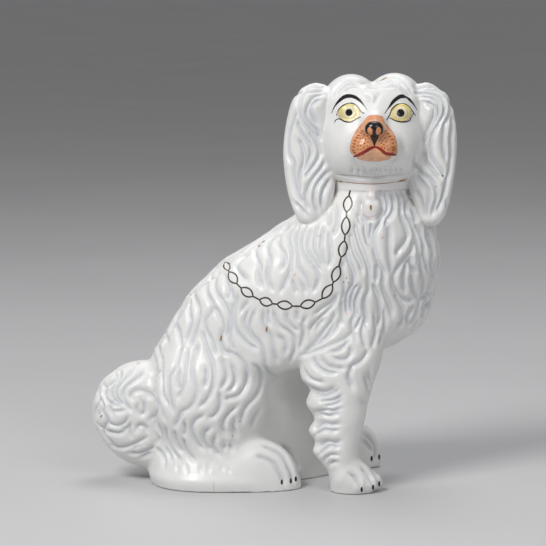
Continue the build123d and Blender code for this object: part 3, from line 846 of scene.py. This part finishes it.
def stroke(line, width, ends=0.35, across=5, step=0.7, swell=0.7):
    """A brush stroke: rows across a line, widest in the middle, and no wider where the surface turns
    away."""
    pts = spline(line, step)
    along = np.gradient(pts, axis=0)
    along /= np.maximum(np.linalg.norm(along, axis=1), 1e-9)[:, None]
    side = np.stack([-along[:, 1], along[:, 0]], 1)
    t = np.linspace(0, 1, len(pts))
    half = 0.5 * width * (ends + (1 - ends) * np.sin(math.pi * t) ** swell)
    slant = [1.0 if hit is None else abs(normal[1]) for hit, normal in (seen(skin, x, z) for x, z in pts)]
    half *= np.clip(1.25 * np.array(slant), 0.3, 1)
    return [p + np.outer(np.linspace(-1, 1, across), s) * h for p, s, h in zip(pts, side, half)], False


def link(a, b, half, thick):
    """One open link of the painted chain: two bowed strokes from a to b."""
    a, b = np.array(a, float), np.array(b, float)
    way = (b - a) / np.linalg.norm(b - a)
    side = np.array([-way[1], way[0]])
    half = min(half, 0.34 * np.linalg.norm(b - a))
    bows = []
    for sign in (1, -1):
        line = [a + (b - a) * t + side * sign * half * math.sin(math.pi * t) ** 0.8
                for t in np.linspace(0, 1, 9)]
        bows.append(stroke(line, thick, 0.8))
    return bows


BROWS = [
    [(46.4, 293.6), (48.8, 299), (52.7, 303.8), (57.5, 307), (63.3, 307), (68, 304.3), (72, 300),
     (74.4, 296.5)],
    [(88.4, 293.6), (92.2, 299), (96, 303.8), (101, 307), (105.7, 306.2), (109.6, 302.8), (112.5, 299),
     (114, 296.5)],
]
LIDS = [
    [(50.3, 291.7), (51.7, 296), (55.6, 299.9), (61.4, 301.7), (66.2, 299.9), (69.6, 295.1),
     (72.5, 293.6)],
    [(48.8, 286.3), (49.8, 288.3), (52.7, 289.3), (56.5, 287.3), (61.4, 286.8), (66.2, 289.3),
     (69.6, 290.7)],
    [(89.8, 288.3), (92.2, 292.2), (94.2, 297), (98, 300.4), (102.8, 301.4), (107.7, 299), (110.5, 295.1),
     (113, 291.7)],
    [(92.2, 290.2), (97, 287.8), (102.8, 286.8), (107.7, 287.8), (109.1, 290.2), (111.5, 294.1)],
]
IRISES = {"right": (60.4, 294.1, 8.7, 7.2), "left": (101.1, 294.1, 8.5, 7.2)}
PUPILS = [(60.2, 294.3, 2.8, 2.8), (101, 293.9, 3.1, 3.1)]
MUZZLE_EDGE = [(80.6, 292.4), (76.5, 292), (74.1, 290.6), (71.7, 287.1), (67.8, 282.7), (64.4, 277.4),
               (62, 271.6), (61.1, 265.7), (62, 261.9), (65.5, 260.5), (70, 261.8), (74.5, 264.5),
               (78.7, 266.5), (81.6, 267), (85.5, 265), (89.3, 262), (94, 261), (98, 261.4), (98.6, 265),
               (98.3, 269.6), (96.4, 276.5), (91.5, 283.2), (88.6, 286.6), (87.3, 290.2), (85, 292)]
CHIN_EDGE = [(65.5, 260), (70, 261.5), (74.5, 264.2), (78.7, 266.2), (81.6, 266.6), (85.5, 264.6),
             (89.3, 261.8), (93.5, 260), (92.5, 257.4), (86, 255.7), (79, 255.4), (72, 256.3),
             (67.5, 257.5)]
NOSE_CAP = [(74.5, 277.5), (73, 280), (73.4, 283.4), (75.8, 286.3), (80.2, 287.3), (84.5, 286.3),
            (86.9, 283), (87.2, 279), (85.5, 277.2), (82.5, 276.3), (80.2, 276.6), (77.5, 276.3)]
NOSE_SPIKE = [(76.6, 280), (76.7, 277.5), (77.6, 274), (79.2, 270.3), (80.4, 267.2), (81.6, 270.3),
              (83.2, 274), (84.2, 277.5), (84.2, 280), (80.4, 281)]
MOUTH = [(63.8, 259.2), (69, 261.1), (73.9, 264), (78.7, 266.5), (81.6, 267), (85.5, 265), (89.3, 262),
         (94, 261.1), (98, 260.6)]
WHISKERS = [(71, 279.6), (69.6, 278.1), (68.1, 276.2), (66.7, 274.2), (65.2, 271.8), (64.3, 269.4),
            (63.8, 266.9), (63.8, 264.5), (64.7, 262.6), (69.1, 273.7), (68.1, 270.8), (67.6, 267.9),
            (67.6, 265), (72.5, 276.6), (71, 273.7), (70, 270.8), (69.6, 267.9), (70, 265), (74.9, 275.7),
            (73.4, 272.8), (72.5, 269.9), (72, 266), (76.3, 273.7), (75.4, 270.8), (74.9, 267.9),
            (89.3, 279.6), (91.3, 277.6), (92.7, 275.2), (94.2, 272.8), (95.1, 269.9), (95.6, 266.9),
            (95.6, 264.5), (94.2, 262.1), (86.9, 275.7), (88.4, 273.7), (89.8, 270.8), (90.8, 267.9),
            (91.3, 265), (85.5, 274.7), (86.9, 271.8), (87.9, 268.9), (88.4, 266), (85, 272.8),
            (86, 269.9), (86.4, 266.9)]
CHAIN = [(61.5, 232.5), (60.4, 228), (58.5, 215), (58.5, 211.3), (57.3, 196.6), (57, 192), (54.3, 178.8),
         (52.6, 171.9), (48.2, 158.8), (47.4, 156.8), (39.4, 145.6), (33.7, 142.6), (21.8, 139.3),
         (15.5, 139.4), (3.2, 141), (-0.5, 141.3), (-10.7, 144.5), (-16, 147.3), (-25.5, 154),
         (-29, 157.6), (-35, 167), (-35.5, 168), (-38, 175), (-38.8, 178)]
CLAWS = [(71.5, -10.1), (80.7, -8.4), (85.6, -5.4), (79.4, 15.3), (85.5, 16.6), (7.1, -3.9), (14.3, -3.0),
         (18.3, -1.5)]


# ---------------------------------------------------------------- materials
class Finish:
    """A node material, built up step by step."""

    def __init__(self, name, rough):
        self.material = bpy.data.materials.new(name)
        self.material.use_nodes = True
        self.tree = self.material.node_tree
        self.shader = self.tree.nodes["Principled BSDF"]
        self.shader.inputs["Roughness"].default_value = rough
        self.shader.inputs["IOR"].default_value = 1.5
        self.place = self.tree.nodes.new("ShaderNodeTexCoord").outputs["Object"]

    def noise(self, scale, detail=4.0, rough=0.55):
        node = self.tree.nodes.new("ShaderNodeTexNoise")
        node.inputs["Scale"].default_value = scale
        node.inputs["Detail"].default_value = detail
        node.inputs["Roughness"].default_value = rough
        self.tree.links.new(self.place, node.inputs["Vector"])
        return node.outputs["Fac"]

    def attribute(self, name):
        node = self.tree.nodes.new("ShaderNodeAttribute")
        node.attribute_name = name
        return node.outputs["Fac"]

    def ramp(self, value, *stops):
        node = self.tree.nodes.new("ShaderNodeValToRGB")
        ramp = node.color_ramp
        for place, _ in stops[1:-1]:
            ramp.elements.new(place)
        for element, (place, colour) in zip(ramp.elements, stops):
            element.position, element.color = place, (*colour, 1)
        self.tree.links.new(value, node.inputs["Fac"])
        return node.outputs["Color"]

    def mix(self, share, a, b):
        node = self.tree.nodes.new("ShaderNodeMix")
        node.data_type = "RGBA"
        for value, entry in ((share, node.inputs[0]), (a, node.inputs[6]), (b, node.inputs[7])):
            if isinstance(value, tuple):
                entry.default_value = (*value, 1)
            else:
                self.tree.links.new(value, entry)
        return node.outputs[2]

    def span(self, value, low, high):
        node = self.tree.nodes.new("ShaderNodeMapRange")
        node.inputs["To Min"].default_value, node.inputs["To Max"].default_value = low, high
        self.tree.links.new(value, node.inputs["Value"])
        return node.outputs["Result"]

    def bump(self, value, strength, distance):
        node = self.tree.nodes.new("ShaderNodeBump")
        node.inputs["Strength"].default_value, node.inputs["Distance"].default_value = strength, distance
        self.tree.links.new(value, node.inputs["Height"])
        self.tree.links.new(node.outputs["Normal"], self.shader.inputs["Normal"])

    def wire(self, value, entry):
        self.tree.links.new(value, self.shader.inputs[entry])


def glaze(name, high, low, pooled_glaze_and_painted_shade):
    """Glassy lead glaze: bluer and darker in the grooves, partly the glaze pooling there and partly painted
    shade, with fine specks and an uneven gloss.
    """
    f = Finish(name, 0.16)
    clay = f.ramp(f.noise(26, 5), (0.3, low), (0.7, high))
    # the grooves take a bluer, darker tint: partly glaze pooled in them, partly painted shade
    clay = f.mix(f.ramp(f.attribute("groove"), (0.42, (0, 0, 0)), (1.0, (0.6, 0.6, 0.6))), clay, pooled_glaze_and_painted_shade)
    specks = f.ramp(f.noise(900, 1, 0.3), (0.72, (0, 0, 0)), (0.8, (0.35, 0.35, 0.35)))
    f.wire(f.mix(specks, clay, (0.42, 0.36, 0.31)), "Base Color")
    f.wire(f.span(f.noise(60, 3), 0.2, 0.5), "Roughness")
    f.bump(f.noise(85, 2), 0.1, 0.0012)
    return f.material


def enamel(name, light, dark, scale=260, rough=0.2):
    """Fired overglaze colour, thicker and thinner where the brush went."""
    f = Finish(name, rough)
    f.wire(f.ramp(f.noise(scale, 4), (0.35, dark), (0.65, light)), "Base Color")
    f.wire(f.span(f.noise(140, 2), rough * 0.7, rough * 1.8), "Roughness")
    f.bump(f.noise(700, 2), 0.2, 0.0003)
    return f.material


def gilding(name):
    """Worn gold: metal where it holds, brown where it has rubbed."""
    f = Finish(name, 0.3)
    f.shader.inputs["Metallic"].default_value = 0.75
    f.wire(f.ramp(f.noise(420, 4), (0.35, (0.33, 0.17, 0.07)), (0.62, (0.75, 0.5, 0.2))), "Base Color")
    f.wire(f.span(f.noise(300, 3), 0.2, 0.5), "Roughness")
    return f.material


# the last colour is the grooves' tint: glaze pooled there, darkened further as painted shade
white_glaze = glaze("white_glaze", (0.80, 0.80, 0.785), (0.745, 0.75, 0.74), (0.58, 0.61, 0.66))
collar_glaze = glaze("collar_glaze", (0.80, 0.79, 0.79), (0.77, 0.75, 0.745), (0.62, 0.58, 0.58))
yellow = enamel("yellow_enamel", (0.80, 0.70, 0.36), (0.72, 0.56, 0.18), 160)
orange = enamel("orange_enamel", (0.76, 0.36, 0.18), (0.62, 0.24, 0.10))
black = enamel("black_enamel", (0.018, 0.014, 0.013), (0.006, 0.005, 0.005), rough=0.16)
chain_black = enamel("chain_enamel", (0.085, 0.062, 0.048), (0.012, 0.01, 0.009), 330, 0.2)
red = enamel("red_enamel", (0.36, 0.03, 0.016), (0.22, 0.012, 0.008))
pale_orange = enamel("pale_orange_enamel", (0.78, 0.46, 0.30), (0.72, 0.36, 0.20))
pale_yellow = enamel("pale_yellow_enamel", (0.80, 0.76, 0.55), (0.76, 0.68, 0.40))
gold = gilding("gilding")
brown = enamel("brown_wear", (0.46, 0.27, 0.15), (0.24, 0.12, 0.07), 900)
pink = enamel("pink_wear", (0.80, 0.68, 0.65), (0.78, 0.56, 0.52), 700)


# ---------------------------------------------------------------- the dog
coarse_points, coarse = coarse_figure()
smooth, quads, middle = halved(coarse_points, coarse)
edges = sides_of(quads)
# evened out, then put back on the field's surface
smooth = relax_all(smooth, edges, 0.5, 2)
smooth = settle(smooth, vertex_normals(smooth, quads))
smooth_normals = vertex_normals(smooth, quads)
tree = BVHTree.FromPolygons(smooth.tolist(), quads.tolist())
cut, lap = carve(smooth, smooth_normals, grooves_of(tree))
cut, lap = relax(cut, edges, 0.25, 1), relax(lap, edges, 0.5, 4)
# the lowest 2 mm stay plain, and the hair comes in over the next 8
plain = np.clip((smooth[:, 2] - 2) / 8, 0, 1)
cut, lap = cut * plain, lap * plain
# three long shallow waves: the form isn't quite even
swell = sum(np.sin(smooth @ np.array(way) + turn) for way, turn in (
    ((0.11, 0.05, 0.06), 0.3), ((-0.05, 0.09, 0.12), 1.7), ((0.07, -0.12, 0.05), 4.0))) * 0.12
points = smooth + smooth_normals * (swell * plain + lap - cut)[:, None]
points = relax_all(points, edges, 0.15, 1)
points[:, 2] = np.maximum(points[:, 2], 0)
normals = vertex_normals(points, quads)
# how strongly each vertex takes the grooves' tint: painted shade, with the glaze pooling there
shade = np.clip(cut / 2.2, 0, 1)
owner = owners(coarse_points.astype(np.float32), coarse)
skin = BVHTree.FromPolygons(points.tolist(), quads.tolist())

FINISH = {"collar": (collar_glaze, "collar_glaze"), "padlock": (collar_glaze, "collar_glaze")}
SLOTS = {"right_eye": "yellow_enamel", "left_eye": "yellow_enamel", "muzzle": "orange_enamel",
         "nose": "black_enamel"}
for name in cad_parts:
    made = piece(name, np.flatnonzero(owner == name))
    material, entry = FINISH.get(name, (white_glaze, SLOTS.get(name, "white_glaze")))
    made.data.materials.append(black if name == "nose" else material)
    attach(made, "root")
    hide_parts(name)

# Enamels
for side, (x, z, a, b) in IRISES.items():
    drape(side + "_iris", [oval(x, z, a, b, 12, 64)], yellow, 0.12)
drape("iris_rings", [oval(x, z, 5.6, 4.9, 5, 48) for x, z, _, _ in IRISES.values()],
              pale_yellow, 0.17)
drape("pupils", [oval(*p) for p in PUPILS], black, 0.22)
drape("brows", [stroke(line, 3.6, 0.14, 9, swell=2.0) for line in BROWS], black, 0.14)
drape("eyelids", [stroke(line, 1.0, 0.5) for line in LIDS], black, 0.24)
drape("muzzle_colour", [disc(MUZZLE_EDGE, 26, 140)], orange, 0.12)
drape("nose_colour", [disc(NOSE_CAP, 10, 64)], black, 0.22)
drape("nose_line", [disc(NOSE_SPIKE, 8, 48)], black, 0.3)
drape("nostrils", [oval(77.0, 279.6, 1.9, 3.0, 4, 24, 0.2),
                           oval(83.5, 279.6, 1.9, 3.0, 4, 24, -0.2)], orange, 0.42)
drape("chin_colour", [disc(CHIN_EDGE, 14, 100)], pale_orange, 0.12)
drape("mouth", [stroke(MOUTH[:5], 2.7, 0.6), stroke(MOUTH[4:], 2.6, 0.6)], red, 0.2)
drape("whisker_marks", [oval(x, z, *((1.3, 0.3) if i < 9 or 25 <= i < 33 else (0.6, 0.34)), 2, 12,
                                     -0.35 if x < 80 else 0.35) for i, (x, z) in enumerate(WHISKERS)],
              black, 0.2)
chain = []
for i, (a, b) in enumerate(zip(CHAIN, CHAIN[1:])):
    chain += [stroke([a, b], 1.3, 0.8)] if i % 2 == 0 else link(a, b, 3.3, 1.3)
drape("chain", chain, chain_black, 0.16)
drape("claws", [oval(x, z, 0.9, 2.2, 3, 20) for x, z in CLAWS], black, 0.16)
drape("collar_gilding", [stroke([(50, 240), (53, 239.6), (56, 239.3)], 1.6, 0.4),
                         stroke([(99, 239.5), (103, 240.3), (106, 241)], 1.6, 0.4)], gold, 0.16)
drape("keyhole", [oval(77.8, 218.6, 0.9, 2.2, 3, 20)], gold, 0.2)
drape("collar_line", [stroke([(56, 239.3), (67, 238), (78, 237.5), (89, 238), (99, 239.5)], 0.7, 0.4)],
      brown, 0.12)
drape("worn_pink", [oval(x, z, 1.6, 1.0, 3, 16, 0.6) for x, z in (
    (37, 196), (17, 165), (60, 134), (87, 195), (-108, 93))], pink, 0.1)
drape("worn_brown", [stroke([(x, z), (x + u, z + v)], w, 0.4) for x, z, u, v, w in (
    (-9, 190, 2.4, 2.2, 1.3), (-12, 187, 2.0, 1.8, 1.1), (-5.5, 118.5, 0.8, 4.8, 1.4),
    (-42, 111, 0.8, 4.8, 1.4),
    (-139, 49, 2, 2, 1.2), (-66, 148, 0.8, 1, 0.9), (-27, 45.5, 0.8, 1, 0.9), (-33, 33.5, 0.8, 1, 0.9),
    (58.3, 161.5, 0.8, 1, 0.9), (59.8, 158, 0.8, 1, 0.9), (55.8, 158.4, 0.8, 1, 0.9),
    (84.5, 319.3, 5.8, 2.9, 0.9), (129, 235, 0.8, 0.8, 1.1), (-47.8, -12, 0.2, 9, 0.22))], brown, 0.1)
drape("speck", [oval(134.7, 244, 0.7, 0.6, 2, 12)], black, 0.12)
drape("padlock_line", [
    stroke([(74.6, 227), (74.9, 230.5), (77.6, 232.6), (80.3, 230.6), (80.7, 227)], 0.8, 0.5),
    stroke([(70.2, 224), (69.6, 218), (73, 212.8), (78.5, 211.4), (84, 214), (86, 219)], 0.7, 0.3),
], pink, 0.12)

# ---------------------------------------------------------------- stage
floor_finish = Finish("floor", 0.55)
floor_tone = floor_finish.ramp(floor_finish.noise(3, 3),
                               (0.3, (0.56, 0.56, 0.57)), (0.7, (0.59, 0.59, 0.60)))
floor_finish.wire(floor_tone, "Base Color")
FLOOR_RADIUS, FLOOR_DROP, FLOOR_SIDES = 24, 0.0002, 48          # in metres
ring = [(FLOOR_RADIUS * math.cos(t), FLOOR_RADIUS * math.sin(t), -FLOOR_DROP)
        for t in np.linspace(0, 2 * math.pi, FLOOR_SIDES, endpoint=False)]
floor_mesh = bpy.data.meshes.new("floor")
floor_mesh.from_pydata(ring, [], [tuple(range(FLOOR_SIDES))])
floor_mesh.shade_smooth()
floor_mesh.materials.append(floor_finish.material)
floor = put("floor", floor_mesh)


def lamp(name, place, aim, size, power, tint):
    light = bpy.data.lights.new(name, "AREA")
    light.shape, light.size, light.energy, light.color = "DISK", size, power, tint
    made = put(name, light)
    made.location = place
    made.rotation_euler = (Vector(aim) - Vector(place)).to_track_quat("-Z", "Y").to_euler()


lamp("key", (-0.95, -1.15, 1.75), (0, 0, 0.26), 0.9, 31, (1.0, 0.99, 0.975))
lamp("fill", (1.2, -1.9, 1.7), (0, 0, 0.25), 1.2, 11, (1.0, 0.995, 0.985))
lamp("top", (0.2, 0.6, 1.9), (0, 0, 0.1), 1.0, 12, (0.98, 0.99, 1.0))
world = bpy.data.worlds.new("studio")
world.use_nodes = True
world.node_tree.nodes["Background"].inputs["Color"].default_value = (0.68, 0.68, 0.69, 1)
world.node_tree.nodes["Background"].inputs["Strength"].default_value = 0.34
bpy.context.scene.world = world
bpy.context.scene.view_settings.view_transform = "Standard"

camera_data = bpy.data.cameras.new("camera")
camera_data.lens, camera_data.sensor_width = LENS, SENSOR
camera = put("camera", camera_data)
camera.location = Vector(EYE) * MM
camera.rotation_euler = (TILT, 0, 0)
bpy.context.scene.camera = camera
